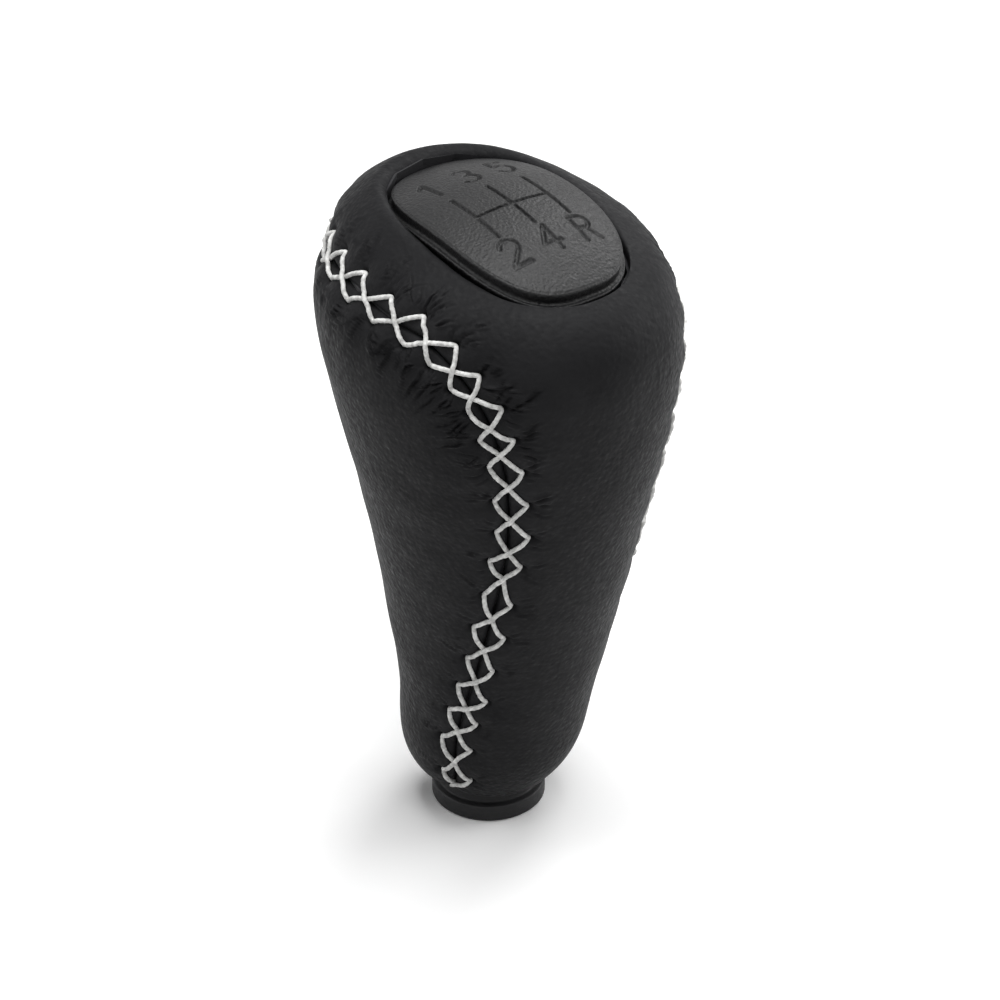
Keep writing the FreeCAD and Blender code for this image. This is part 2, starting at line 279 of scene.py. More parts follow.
FOOT_ROLL_RADIUS = 0.9
FOOT_LEAN = math.radians(-65)
FOOT_TURN = math.radians(-115)


def foot_roll(ring):
    """Rows that turn the leather in under its foot, from the innermost to the ring."""
    outward = ring * (1, 1, 0)
    outward = outward / np.linalg.norm(outward, axis=-1, keepdims=True)
    up = np.array((0.0, 0.0, 1.0))

    def facing(lean):
        return outward * math.cos(lean) + up * math.sin(lean)

    centre = ring - FOOT_ROLL_RADIUS * facing(FOOT_LEAN)
    shares = np.linspace(1, 0, TUCK_ROWS, endpoint=False)
    leans = FOOT_LEAN + shares * FOOT_TURN
    return np.array([centre + FOOT_ROLL_RADIUS * facing(lean) for lean in leans])


def panel_grid(shares, is_front):
    """Grid of points from the foot's roll up to the crown's seam line, left edge first."""
    rows = crowd_last(PANEL_ROWS, ROW_CROWDING)
    left = tongue_angle(rows * corner_run(1), 1)
    right = tongue_angle(rows * corner_run(-1), -1)
    if is_front:
        right = right - 2 * math.pi
    angles = left[:, None] + (right - left)[:, None] * shares
    tops = crown_run(angles[-1])
    grid = skin(angles, rows[:, None] * tops[None, :])
    return np.concatenate([foot_roll(grid[0]), grid]), angles[-1], tops


def oval_reach(angle, grow):
    along = np.abs(np.cos(angle) / (CAP_HALF_LENGTH + grow)) ** CAP_SQUARENESS
    across = np.abs(np.sin(angle) / (CAP_HALF_WIDTH + grow)) ** CAP_SQUARENESS
    return (along + across) ** (-1 / CAP_SQUARENESS)


def from_cap(points):
    """Points of the cap's own frame, whose origin is the top of the dome, in the part's frame."""
    x, y, z = np.moveaxis(points, -1, 0)
    cos, sin = math.cos(CAP_TILT), math.sin(CAP_TILT)
    return np.stack([x * cos - z * sin - CAP_SETBACK, y, x * sin + z * cos + CAP_TOP], -1)


RIM_ROLL = 1.0
RECESS_WALL = 5.0
FRONT_DIP = 3.4
FRONT_DIP_SPAN = math.radians(100)
EDGE_CLEARANCE = 0.25
RIM_PULL = 0.6
EDGE_PULL = 0.5
WALL_SHARES = (0.2, 0.5, 1.0)


def rim_runs(angle):
    """Run at which the leather leaves the outside for the recess, sooner at the front."""
    from_front = np.abs(np.angle(np.exp(1j * angle)))
    return FULL_RUN - FRONT_DIP * ease(1 - from_front / FRONT_DIP_SPAN)


def rim_roll(rim, under):
    """Rows that carry the crown's leather over the rim and down into the cap's recess."""
    angle = np.arctan2(rim[:, 1], rim[:, 0] + CAP_SETBACK)
    reach = oval_reach(angle, CAP_MARGIN)
    mouth = from_cap(np.stack([reach * np.cos(angle), reach * np.sin(angle), np.zeros_like(reach)], -1))
    run_in = rim - under
    run_in = run_in / np.linalg.norm(run_in, axis=-1, keepdims=True)
    gap = np.linalg.norm((mouth - rim)[:, :2], axis=-1, keepdims=True)
    up = np.array((0.0, 0.0, 1.0))
    edge = mouth.copy()
    cap_edge = mouth[:, 2] + dome_height(oval_reach(angle, 0)) * math.cos(CAP_TILT)
    edge[:, 2] = np.minimum(rim[:, 2], cap_edge - EDGE_CLEARANCE)
    over_rim = rim + run_in * gap * RIM_PULL
    over_edge = edge + up * run_in[:, 2:] * gap * EDGE_PULL
    controls = (rim, over_rim, over_edge, edge - up * RIM_ROLL)
    rows = []
    for share in np.linspace(0, 1, ROLL_ROWS)[1:]:
        left = 1 - share
        weights = (left**3, 3 * left**2 * share, 3 * left * share**2, share**3)
        rows.append(sum(w * c for w, c in zip(weights, controls)))
    for share in WALL_SHARES:
        rows.append(rows[ROLL_ROWS - 2] - up * share * RECESS_WALL)
    return np.array(rows)


def front_panel():
    shares = crowd_ends(FRONT_COLUMNS, FRONT_CROWDING)
    grid, angles, tops = panel_grid(shares, True)
    rows, columns = grid.shape[:2]
    index = np.arange(rows * columns).reshape(rows, columns)
    piece = make_piece("front_wrap_panel", grid.reshape(-1, 3), grid_faces(index), flip=True)
    edge = np.concatenate([index[TUCK_ROWS:, 0], index[-1, 1:-1], index[TUCK_ROWS:, -1][::-1]])
    return piece, edge, angles, tops


def crown_panel(front_top, front_tops):
    """The rear tongue's grid, joined to rings round the crown that end in the cap's recess."""
    shares = crowd_ends(TONGUE_COLUMNS, TONGUE_CROWDING)
    tongue, rear_top, rear_tops = panel_grid(shares, False)
    rows, columns = tongue.shape[:2]
    tongue_index = np.arange(rows * columns).reshape(rows, columns)
    angles = np.concatenate([front_top, rear_top[-2:0:-1]])
    tops = np.concatenate([front_tops, rear_tops[-2:0:-1]])
    climb = crowd_first(RING_ROWS, RING_CROWDING)
    rings = skin(angles[None, :], tops[None, :] + climb[:, None] * (rim_runs(angles) - tops)[None, :])
    rings = np.concatenate([rings, rim_roll(rings[-1], rings[-2])])
    count = len(front_top)
    ring_index = rows * columns + np.arange(rings[:, :, 0].size).reshape(rings.shape[:2])
    ring_index[0, count:] = tongue_index[-1, -2:0:-1]
    ring_index[0, 0] = tongue_index[-1, 0]
    ring_index[0, count - 1] = tongue_index[-1, -1]
    points = np.concatenate([tongue.reshape(-1, 3), rings.reshape(-1, 3)])
    faces = np.concatenate([grid_faces(tongue_index), grid_faces(ring_index, closed=True)[:, ::-1]])
    used = np.unique(faces)
    place = np.full(len(points), -1)
    place[used] = np.arange(len(used))
    return make_piece("crown_back_panel", points[used], place[faces])


# Seam coordinates: how far along the seam a point lies, and how far off it

class Seam:
    def __init__(self, points, normals):
        steps = np.linalg.norm(np.diff(points, axis=0), axis=1)
        self.points = points
        self.along = np.concatenate([[0.0], np.cumsum(steps)])
        self.length = self.along[-1]
        tangents = np.gradient(points, axis=0)
        self.tangents = tangents / np.linalg.norm(tangents, axis=1, keepdims=True)
        self.normals = normals
        self.tree = kdtree.KDTree(len(points))
        for number, point in enumerate(points):
            self.tree.insert(point, number)
        self.tree.balance()

    def measure(self, points):
        near = np.array([self.tree.find(point)[1] for point in points])
        step = points - self.points[near]
        ahead = np.einsum("ij,ij->i", step, self.tangents[near])
        off = np.linalg.norm(step - ahead[:, None] * self.tangents[near], axis=1)
        return self.along[near] + ahead, off

    def frame_at(self, along):
        """Point, normal and sideways direction, towards the crown, at places on the seam."""
        def read(values):
            return np.stack([np.interp(along, self.along, values[:, i]) for i in range(3)], -1)

        normal = read(self.normals)
        normal = normal / np.linalg.norm(normal, axis=-1, keepdims=True)
        tangent = read(self.tangents)
        side = np.cross(tangent, normal)
        side = side / np.linalg.norm(side, axis=-1, keepdims=True)
        return read(self.points), normal, side


def stitch_marks(length):
    """Crossings along the whole seam: measured up the left side, even over the crown, mirrored."""
    low = np.array(LOW_CROSSINGS)
    span = length - 2 * low[-1]
    between = int(round(span / STITCH_PITCH))
    middle = low[-1] + span * np.arange(1, between) / between
    return np.concatenate([low, middle, length - low[::-1]])


def holes(marks):
    """Stitch holes between the crossings, on the crown's and the wrap's side: along and off."""
    start, step = marks[:-1], np.diff(marks)
    count = len(step)
    spread = (-HOLE_SHARE_SPREAD, HOLE_SHARE_SPREAD)
    crown = start + step * (CROWN_HOLE_SHARE + rng.uniform(*spread, count))
    wrap = start + step * (WRAP_HOLE_SHARE + rng.uniform(*spread, count))
    crown_off = CROWN_HOLE_OFFSET + rng.uniform(*CROWN_OFFSET_SPREAD, count)
    wrap_off = WRAP_HOLE_OFFSET + rng.uniform(*WRAP_OFFSET_SPREAD, count)
    return (crown, crown_off), (wrap, wrap_off)


# Leather relief

EDGE_ROLL = 1.1
VALLEY_DEPTH = 0.45
VALLEY_REACH = 2.0
CROWN_VALLEY_DEPTH = 0.65
CROWN_VALLEY_REACH = 3.2
HOLE_DEPTH = 0.8
HOLE_REACH = 0.42
HOLE_SHIFT = 0.3
DIMPLE_DEPTH = 0.25
DIMPLE_REACH = 1.4
DIMPLE_SPAN = 4
DIMPLE_PULL = 1.3
PUCKER_HEIGHT = 0.16
PUCKER_RISE = 2.0
PUCKER_FLAT = 2.4
PUCKER_REACH = 4.0
LUMP_HEIGHT = 0.05
LUMP_WAVES = 24
LUMP_LENGTHS = (7, 24)

# How hard the stitches pull, by the way along the seam from either end
SHOULDER_PLACE = 95
SHOULDER_REACH = 22
LEAST_PULL = 0.45
SHOULDER_PULL = 0.75
CROWN_START = 84
CROWN_EASE = 26

# Creases that fan out from a hole, with the ranges that each one is drawn from
CREASE_DEPTH = 0.3
CALM_CREASE_DEPTH = 0.08
CREASE_SPAN = 10
CREASE_BEHIND = 0.5
CREASE_AHEAD = 12
FEWEST_CREASES = 2
MORE_CREASES = 6
CREASE_FAN = 0.55
CREASE_FAN_SPREAD = 0.15
CREASE_LENGTHS = (1.2, 4.5)
CREASE_LENGTH_LEAST = 0.4
CREASE_WIDTHS = (0.12, 0.2)
CREASE_STARTS = (0.2, 2.2)
CREASE_BEND = 0.05
CREASE_WOBBLE = 0.12
CREASE_WOBBLE_RATES = (1.5, 3.0)
CREASE_WOBBLE_PHASE = 6
CREASE_SPACING = 1.6
CREASE_FADE_IN = 0.8
CREASE_FADE_SHIFT = 0.3
CREASE_FADE_OUT = 0.7
CREASE_DEPTHS = (0.5, 1.0)
CREASE_SLACK_DEPTH = 0.35
CREASE_PULL_DEPTH = 0.65
RIDGE_HEIGHT = 0.75
RIDGE_PLACE = 2.0


def wave_field(points, waves, shortest, longest):
    """A soft random field made of plane waves, about one high."""
    total = np.zeros(len(points))
    for _ in range(waves):
        way = rng.normal(size=3)
        way = way / np.linalg.norm(way)
        length = rng.uniform(shortest, longest)
        total += np.sin(points @ way * (2 * math.pi / length) + rng.uniform(0, 2 * math.pi))
    return total / math.sqrt(waves / 2)


def tightness(along, length):
    """How hard the stitches pull: most on the shoulders, where the seam turns onto the crown."""
    from_end = np.minimum(along, length - along)
    shoulder = np.exp(-((from_end - SHOULDER_PLACE) / SHOULDER_REACH) ** 2)
    return LEAST_PULL + SHOULDER_PULL * shoulder


def on_crown(along, length):
    """From none on the tongue's sides to one where the seam runs round the crown."""
    return ease((np.minimum(along, length - along) - CROWN_START) / CROWN_EASE)


def hole_relief(along, off, places, offs, pull):
    """A pit at each stitch hole, in a wider dimple."""
    height = np.zeros(len(along))
    for at, out in zip(places, offs):
        near = np.abs(along - at) < DIMPLE_SPAN * DIMPLE_REACH
        square = (along[near] - at) ** 2 + (off[near] - out - HOLE_SHIFT) ** 2
        hole = HOLE_DEPTH * np.exp(-square / (2 * HOLE_REACH**2))
        dimple = DIMPLE_DEPTH * np.exp(-square / (2 * DIMPLE_REACH**2))
        height[near] -= hole + dimple * pull[near] * DIMPLE_PULL
    return height


def pucker_relief(along, off, places, pull):
    """Leather that swells between holes and dips in line with them."""
    phase = np.interp(along, places, np.arange(len(places)))
    swell = -np.cos(2 * math.pi * phase)
    fade = ease(off / PUCKER_RISE) * np.exp(-np.clip(off - PUCKER_FLAT, 0, None) / PUCKER_REACH)
    return PUCKER_HEIGHT * swell * fade * pull


def crease(across, outward, pull, deepest):
    """Depth of one crease, drawn at random, at places measured from its hole."""
    spread = rng.uniform(-1, 1)
    lean = CREASE_FAN * spread + rng.uniform(-CREASE_FAN_SPREAD, CREASE_FAN_SPREAD)
    reach = rng.uniform(*CREASE_LENGTHS) * (CREASE_LENGTH_LEAST + pull)
    width = rng.uniform(*CREASE_WIDTHS)
    start = rng.uniform(*CREASE_STARTS)
    bend = rng.uniform(-CREASE_BEND, CREASE_BEND)
    rate = rng.uniform(*CREASE_WOBBLE_RATES)
    wobble = CREASE_WOBBLE * np.sin(outward * rate + rng.uniform(0, CREASE_WOBBLE_PHASE))
    ahead = across * math.sin(lean) + outward * math.cos(lean) - start
    aside = across * math.cos(lean) - outward * math.sin(lean) - CREASE_SPACING * spread
    aside = aside + bend * ahead**2 + wobble
    fade = ease(ahead / CREASE_FADE_IN + CREASE_FADE_SHIFT)
    fade = fade * ease((reach - ahead) / (CREASE_FADE_OUT * reach))
    depth = deepest * rng.uniform(*CREASE_DEPTHS) * (CREASE_SLACK_DEPTH + CREASE_PULL_DEPTH * pull)
    ridge = np.exp(-((np.abs(aside) - RIDGE_PLACE * width) / width) ** 2)
    dent = np.exp(-(aside / width) ** 2) - RIDGE_HEIGHT * ridge
    return depth * fade * dent


def crease_relief(along, off, places, offs, length):
    """Fine creases that fan out from each hole, calmer past the stretch of seam that the photo shows."""
    height = np.zeros(len(along))
    for at, out in zip(places, offs):
        pull = tightness(at, length)
        deepest = CREASE_DEPTH if at < LOW_CROSSINGS[-1] else CALM_CREASE_DEPTH
        near = (np.abs(along - at) < CREASE_SPAN) & (off > out - CREASE_BEHIND) & (off < out + CREASE_AHEAD)
        across, outward = along[near] - at, off[near] - out
        for _ in range(int(round(FEWEST_CREASES + MORE_CREASES * pull))):
            height[near] -= crease(across, outward, pull, deepest)
    return height


def leather_relief(piece, seam, places, offs):
    """Moves a panel's smooth points to the sewn leather, and gives their seam coordinates."""
    points, normals = points_of(piece), normals_of(piece)
    along, off = seam.measure(points)
    pull = tightness(along, seam.length)
    curl = np.clip(EDGE_ROLL - off, 0, EDGE_ROLL)
    height = -(EDGE_ROLL - np.sqrt(EDGE_ROLL**2 - curl**2))
    height -= VALLEY_DEPTH * np.exp(-((off / VALLEY_REACH) ** 2))
    crown_valley = np.exp(-((off / CROWN_VALLEY_REACH) ** 2))
    height -= CROWN_VALLEY_DEPTH * on_crown(along, seam.length) * crown_valley
    height += hole_relief(along, off, places, offs, pull)
    height += pucker_relief(along, off, places, pull)
    height += crease_relief(along, off, places, offs, seam.length)
    height += LUMP_HEIGHT * wave_field(points, LUMP_WAVES, *LUMP_LENGTHS)
    moved = points + normals * height[:, None]
    move_points(piece, moved)
    return along, off, moved


# Lacing thread

THREAD_STEP = 0.16
THREAD_SECTION = 15
PLIES = 3
PLY_PITCH = 2.4
PLY_RELIEF = 0.16
CORNER_BLUR = 0.3
LAY_BLUR = 0.7
CROSSING_RISE = 0.42
UNDER_SHARE = -0.25
CROSSING_SPREAD = 0.25
HOLE_SINK = -0.5
LEG_BOW = 0.25
LIFT_REACH = 0.8
LAY_SPAN = 5
LAY_NEIGHBOURS = 4
LAY_SOFTENING = 0.02
LAY_FILL_STEPS = 6
THREAD_SEAT = 0.8


def blurred(values, reach):
    """Values along a path, evened out over a reach in steps."""
    half = int(3 * reach) + 1
    weights = np.exp(-0.5 * (np.arange(-half, half + 1) / reach) ** 2)
    weights = weights / weights.sum()
    before = np.repeat(values[:1], half, axis=0)
    after = np.repeat(values[-1:], half, axis=0)
    padded = np.concatenate([before, values, after])
    columns = [np.convolve(column, weights, mode="valid") for column in padded.T]
    return np.stack(columns, -1)


def thread_route(marks, crown, wrap, first):
    """Knots of one thread: along the seam, off it, and the lift at crossings and holes."""
    knots = []
    for stitch in range(len(marks) - 1):
        over = CROSSING_RISE if (stitch + first) % 2 else UNDER_SHARE * CROSSING_RISE
        knots.append((marks[stitch], rng.uniform(-CROSSING_SPREAD, CROSSING_SPREAD), over))
        if (stitch + first) % 2:
            knots.append((crown[0][stitch], crown[1][stitch], HOLE_SINK))
        else:
            knots.append((wrap[0][stitch], -wrap[1][stitch], HOLE_SINK))
    knots.append((marks[-1], 0.0, 0.0))
    return np.array(knots)


def along_route(knots):
    """The route sampled evenly, with its corners eased and its legs slightly bowed."""
    rows = []
    for start, end in zip(knots, knots[1:]):
        length = math.hypot(*(end - start)[:2])
        count = max(int(length / THREAD_STEP), 2)
        share = np.linspace(0, 1, count, endpoint=False)[:, None]
        row = start + (end - start) * share
        aside = np.array((-(end - start)[1], (end - start)[0])) / length
        row[:, :2] += aside * np.sin(math.pi * share) * rng.uniform(-LEG_BOW, LEG_BOW)
        near_start = np.exp(-((share * length / LIFT_REACH) ** 2))
        near_end = np.exp(-(((1 - share) * length / LIFT_REACH) ** 2))
        row[:, 2] = (start[2] * near_start + end[2] * near_end)[:, 0]
        rows.append(row)
    path = np.concatenate(rows)
    path[:, :2] = blurred(path[:, :2], CORNER_BLUR / THREAD_STEP)
    return path


class LeatherLay:
    """Height of the sewn leather over the seam's own frame, by place along and off the seam."""

    def __init__(self, seam, sides):
        places, heights = [], []
        for along, off, points, sign in sides:
            near = off < LAY_SPAN
            origin, normal, _ = seam.frame_at(along[near])
            places.append(np.stack([along[near], sign * off[near]], -1))
            heights.append(np.einsum("ij,ij->i", points[near] - origin, normal))
        self.places = np.concatenate(places)
        self.heights = np.concatenate(heights)
        self.tree = kdtree.KDTree(len(self.places))
        for number, (along, off) in enumerate(self.places):
            self.tree.insert((along, off, 0), number)
        self.tree.balance()

    def at(self, path):
        found = []
        for along, off in path:
            near = self.tree.find_n((along, off, 0), LAY_NEIGHBOURS)
            weights = [1 / (distance + LAY_SOFTENING) for _, _, distance in near]
            total = sum(w * self.heights[number] for w, (_, number, _) in zip(weights, near))
            found.append(total / sum(weights))
        return np.array(found)


def thread_piece(name, seam, lay, knots):
    """A twisted thread laid on the sewn leather along its knots."""
    path = along_route(knots)
    heights = lay.at(path[:, :2])[:, None]
    filled = np.maximum(heights, blurred(heights, LAY_FILL_STEPS))
    heights = blurred(filled, LAY_BLUR / THREAD_STEP)[:, 0]
    heights = heights + THREAD_SEAT * THREAD_RADIUS + path[:, 2]
    origin, normal, side = seam.frame_at(path[:, 0])
    centre = origin + side * path[:, 1:2] + normal * heights[:, None]
    tangent = np.gradient(centre, axis=0)
    step = np.linalg.norm(tangent, axis=1, keepdims=True)
    tangent = tangent / step
    across = np.cross(tangent, normal)
    across = across / np.linalg.norm(across, axis=1, keepdims=True)
    up = np.cross(across, tangent)
    run = np.cumsum(step[:, 0])
    turn = 2 * math.pi * np.arange(THREAD_SECTION) / THREAD_SECTION
    twist = 2 * math.pi * run / PLY_PITCH
    lobes = np.abs(np.cos(PLIES / 2 * (turn[None, :] - twist[:, None])))
    radius = THREAD_RADIUS * (1 - PLY_RELIEF + PLY_RELIEF * lobes)
    ring = (centre[:, None, :] + across[:, None, :] * (radius * np.cos(turn))[..., None]
            + up[:, None, :] * (radius * np.sin(turn))[..., None])
    index = np.arange(ring[:, :, 0].size).reshape(ring.shape[:2])
    faces = grid_faces(index, closed=True)
    return make_piece(name, ring.reshape(-1, 3), faces, flip=True)


# Shift pattern cap

CAP_RINGS = 130
CAP_SECTORS = 520
CAP_EDGE = 0.32
CAP_REVEAL = 1.85
CAP_UNDERCUT = 0.3
LIP_REACH = 0.42
LIP_HEIGHT = 0.5
GATE_SPACING = 5.95
GATE_MIDDLE = -1.05
GATE_FRONT = 4.6
GATE_REAR = -6.0
GATE_HALF_LINE = 0.34
DIGIT_ROW = 9.4
DIGIT_HEIGHT = 4.7
DIGIT_HALF_LINE = 0.36
GROOVE_DEPTH = 0.42
GROOVE_FLAT = 0.4
GROOVE_SLOPE = 0.75
EDGE_STEPS = 8

# Cap below its rounded edge, down to its skirt: out from the outline, and down from the edge
CAP_SKIRT = (
    (-0.5 * CAP_UNDERCUT, -0.9),
    (-0.8 * CAP_UNDERCUT, -1.3),
    (-CAP_UNDERCUT, 0.15 - CAP_REVEAL),
    (0.06, -CAP_REVEAL),
    (0.2, 0.03 - CAP_REVEAL),
    (LIP_REACH - 0.08, -CAP_REVEAL),
    (LIP_REACH, -CAP_REVEAL - 0.1),
    (LIP_REACH, -CAP_REVEAL - LIP_HEIGHT),
    (0, -CAP_REVEAL - LIP_HEIGHT - 0.1),
    (0, -5.0),
)


def arc(middle, radius, start, end, steps=14):
    """Points on an arc, with angles in degrees from the right."""
    angles = np.radians(np.linspace(start, end, steps))
    across = middle[0] + radius[0] * np.cos(angles)
    up = middle[1] + radius[1] * np.sin(angles)
    return list(zip(across.tolist(), up.tolist()))


def digit_strokes():
    """Pen strokes of each sign in a box from -0.3 to 0.3 across and -0.5 to 0.5 up."""
    return {
        "1": [[(-0.16, 0.3), (0.03, 0.5), (0.03, -0.5)]],
        "2": [arc((0, 0.22), (0.27, 0.28), 165, -38) + [(-0.29, -0.5), (0.31, -0.5)]],
        "3": [arc((-0.01, 0.25), (0.25, 0.25), 150, -90) + arc((-0.01, -0.25), (0.28, 0.25), 90, -150)],
        "4": [[(0.12, -0.5), (0.12, 0.5), (-0.3, -0.2), (0.3, -0.2)]],
        "5": [[(0.25, 0.5), (-0.2, 0.5), (-0.24, 0.06)] + arc((-0.01, -0.19), (0.28, 0.31), 130, -150)],
        "R": [[(-0.24, -0.5), (-0.24, 0.5)] + arc((0.02, 0.25), (0.24, 0.25), 90, -90) + [(-0.24, 0.0)],
              [(0.0, 0.0), (0.27, -0.5)]],
    }


def stroke_distance(x, y, strokes):
    """Distance from places on the cap to the nearest of some pen strokes."""
    nearest = np.full(x.shape, np.inf)
    for stroke in strokes:
        for (ax, ay), (bx, by) in zip(stroke, stroke[1:]):
            dx, dy = bx - ax, by - ay
            share = np.clip(((x - ax) * dx + (y - ay) * dy) / (dx * dx + dy * dy), 0, 1)
            nearest = np.minimum(nearest, np.hypot(x - ax - share * dx, y - ay - share * dy))
    return nearest


def pattern_strokes():
    """Gate lines and signs in the cap's frame: x forward, y left."""
    left, right = GATE_SPACING, -GATE_SPACING
    gate = [[(GATE_MIDDLE, left), (GATE_MIDDLE, right)]]
    gate.append([(GATE_FRONT, left), (GATE_REAR, left)])
    gate.append([(GATE_FRONT, 0), (GATE_REAR, 0)])
    gate.append([(GATE_FRONT, right), (GATE_REAR, right)])
    signs = []
    shapes = digit_strokes()
    for row, names in ((DIGIT_ROW, "135"), (-DIGIT_ROW, "24R")):
        for name, middle in zip(names, (left, 0, right)):
            for stroke in shapes[name]:
                turned = np.array([(up, -across) for across, up in stroke])
                signs.append((np.array((row, middle)) + DIGIT_HEIGHT * turned).tolist())
    return gate, signs


def groove(distance, half_line):
    return GROOVE_DEPTH * ease(1 - (distance - GROOVE_FLAT * half_line) / (GROOVE_SLOPE * half_line))


def dome_height(reach):
    return np.sqrt(CAP_DOME_RADIUS**2 - reach**2) - CAP_DOME_RADIUS


def cap_piece():
    """The domed cap with its grooves, a crisp edge, an undercut wall and a thin lip."""
    angle = 2 * math.pi * np.arange(CAP_SECTORS) / CAP_SECTORS
    outline = oval_reach(angle, 0)
    shares = np.linspace(0, 1, CAP_RINGS)[1:]
    reach = shares[:, None] * (outline - CAP_EDGE)[None, :]
    x, y = reach * np.cos(angle), reach * np.sin(angle)
    gate, signs = pattern_strokes()
    sunk = np.maximum(groove(stroke_distance(x, y, gate), GATE_HALF_LINE),
                      groove(stroke_distance(x, y, signs), DIGIT_HALF_LINE))
    rows = [np.stack([x, y, dome_height(reach) - sunk], -1)]
    edge = dome_height(outline)
    turns = np.linspace(0, math.pi / 2, EDGE_STEPS)[1:]
    profile = [(CAP_EDGE * (math.sin(t) - 1), -CAP_EDGE * (1 - math.cos(t))) for t in turns]
    for out, drop in (*profile, *CAP_SKIRT):
        reach = outline + out
        rows.append(np.stack([reach * np.cos(angle), reach * np.sin(angle), edge + drop], -1)[None])
    rings = np.concatenate(rows)
    centre = np.array([[0.0, 0.0, 0.0]])
    points = np.concatenate([centre, rings.reshape(-1, 3)])
    index = 1 + np.arange(rings[:, :, 0].size).reshape(rings.shape[:2])
    first = index[0].tolist()
    fan = [[0, first[i - 1], first[i]] for i in range(CAP_SECTORS)]
    faces = grid_faces(index, closed=True)
    return make_piece("shift_pattern_cap_shell", from_cap(points), faces, fan=fan)


# Collar

COLLAR_SECTORS = 120
COLLAR_EDGE = 0.3
COLLAR_SHOULDER = 0.3
CORNER_SHARE = 0.45


def rounded_profile(corners, radius, steps=5):
    """A closed profile with each corner replaced by a short arc."""
    points = []
    for before, corner, after in zip(corners[-1:] + corners[:-1], corners, corners[1:] + corners[:1]):
        into = np.subtract(before, corner)
        out = np.subtract(after, corner)
        reach = min(radius, CORNER_SHARE * np.linalg.norm(into), CORNER_SHARE * np.linalg.norm(out))
        start = corner + into / np.linalg.norm(into) * reach
        end = corner + out / np.linalg.norm(out) * reach
        for share in np.linspace(0, 1, steps):
            left = 1 - share
            points.append(left**2 * start + 2 * share * left * np.array(corner) + share**2 * end)
    return np.array(points)


def turned_piece(name, corners, radius):
    profile = rounded_profile(corners, radius)
    profile = np.concatenate([profile, profile[:1]])
    angle = 2 * math.pi * np.arange(COLLAR_SECTORS) / COLLAR_SECTORS
    ring = np.stack([profile[:, :1] * np.cos(angle), profile[:, :1] * np.sin(angle),
                     np.repeat(profile[:, 1:], COLLAR_SECTORS, axis=1)], -1)
    index = np.arange(ring[:, :, 0].size).reshape(ring.shape[:2])
    index[-1] = index[0]
    points = ring[:-1].reshape(-1, 3)
    return make_piece(name, points, grid_faces(index, closed=True), flip=True)


def collar_piece():
    corners = [
        (LEVER_BORE_RADIUS, 0.0),
        (COLLAR_BASE_RADIUS, 0.0),
        (COLLAR_FLANGE_RADIUS, COLLAR_CHAMFER_HEIGHT),
        (COLLAR_FLANGE_RADIUS, COLLAR_FLANGE_HEIGHT),
        (SPIGOT_RADIUS, COLLAR_FLANGE_HEIGHT + COLLAR_SHOULDER),
        (SPIGOT_RADIUS, SPIGOT_TOP),
        (LEVER_BORE_RADIUS, SPIGOT_TOP),
    ]
    return turned_piece("lower_collar_bush", corners, COLLAR_EDGE)


# Materials: colours from dark to light, and plastics' roughness, grain scale and grain height in metres

LEATHER_COLOURS = ((0.009, 0.009, 0.0098), (0.0155, 0.0155, 0.0165))
LEATHER_ROUGHNESS = (0.46, 0.66)
LEATHER_SPECULAR = 0.075
PLASTIC_SPECULAR = 0.28
CAP_COLOURS = ((0.007, 0.007, 0.0075), (0.012, 0.012, 0.0125))
COLLAR_COLOURS = ((0.010, 0.010, 0.011), (0.015, 0.015, 0.016))
CORE_COLOURS = ((0.02, 0.02, 0.022), (0.03, 0.03, 0.032))
CAP_FINISH = (0.42, 2600, 0.00016)
COLLAR_FINISH = (0.5, 5000, 0.00003)
CORE_FINISH = (0.55, 3000, 0.00004)
THREAD_COLOURS = ((0.42, 0.42, 0.41), (0.93, 0.93, 0.91))
THREAD_ROUGHNESS = (0.65, 0.9)
STEEL_COLOURS = ((0.5, 0.5, 0.49), (0.6, 0.6, 0.59))
STEEL_ROUGHNESS = (0.28, 0.42)


def new_material(name):
    material = bpy.data.materials.new(name)
    material.use_nodes = True
    nodes = material.node_tree.nodes
    return material, material.node_tree, nodes["Principled BSDF"]


def add_node(tree, kind, **inputs):
    node = tree.nodes.new(kind)
    for name, value in inputs.items():
        node.inputs[name.replace("_", " ")].default_value = value
    return node


def noise(tree, place, scale, detail=3.0, roughness=0.55):
    node = add_node(tree, "ShaderNodeTexNoise", Scale=scale, Detail=detail, Roughness=roughness)
    tree.links.new(place, node.inputs["Vector"])
    return node.outputs["Fac"]


def cells(tree, place, scale, feature="SMOOTH_F1"):
    node = add_node(tree, "ShaderNodeTexVoronoi", Scale=scale)
    node.feature = feature
    tree.links.new(place, node.inputs["Vector"])
    return node.outputs["Distance"]


def math_node(tree, operation, first, second):
    node = tree.nodes.new("ShaderNodeMath")
    node.operation = operation
    for socket, value in zip(node.inputs, (first, second)):
        if isinstance(value, (int, float)):
            socket.default_value = value
        else:
            tree.links.new(value, socket)
    return node.outputs["Value"]


def ramp(tree, value, low, high, from_low=0.3, from_high=0.7):
    node = tree.nodes.new("ShaderNodeMapRange")
    node.clamp = True
    limits = (("From Min", from_low), ("From Max", from_high), ("To Min", low), ("To Max", high))
    for name, number in limits:
        node.inputs[name].default_value = number
    tree.links.new(value, node.inputs["Value"])
    return node.outputs["Result"]


def colour_ramp(tree, value, dark, light):
    node = tree.nodes.new("ShaderNodeValToRGB")
    node.color_ramp.elements[0].position = 0.3
    node.color_ramp.elements[0].color = (*dark, 1)
    node.color_ramp.elements[1].position = 0.7
    node.color_ramp.elements[1].color = (*light, 1)
    tree.links.new(value, node.inputs["Fac"])
    return node.outputs["Color"]


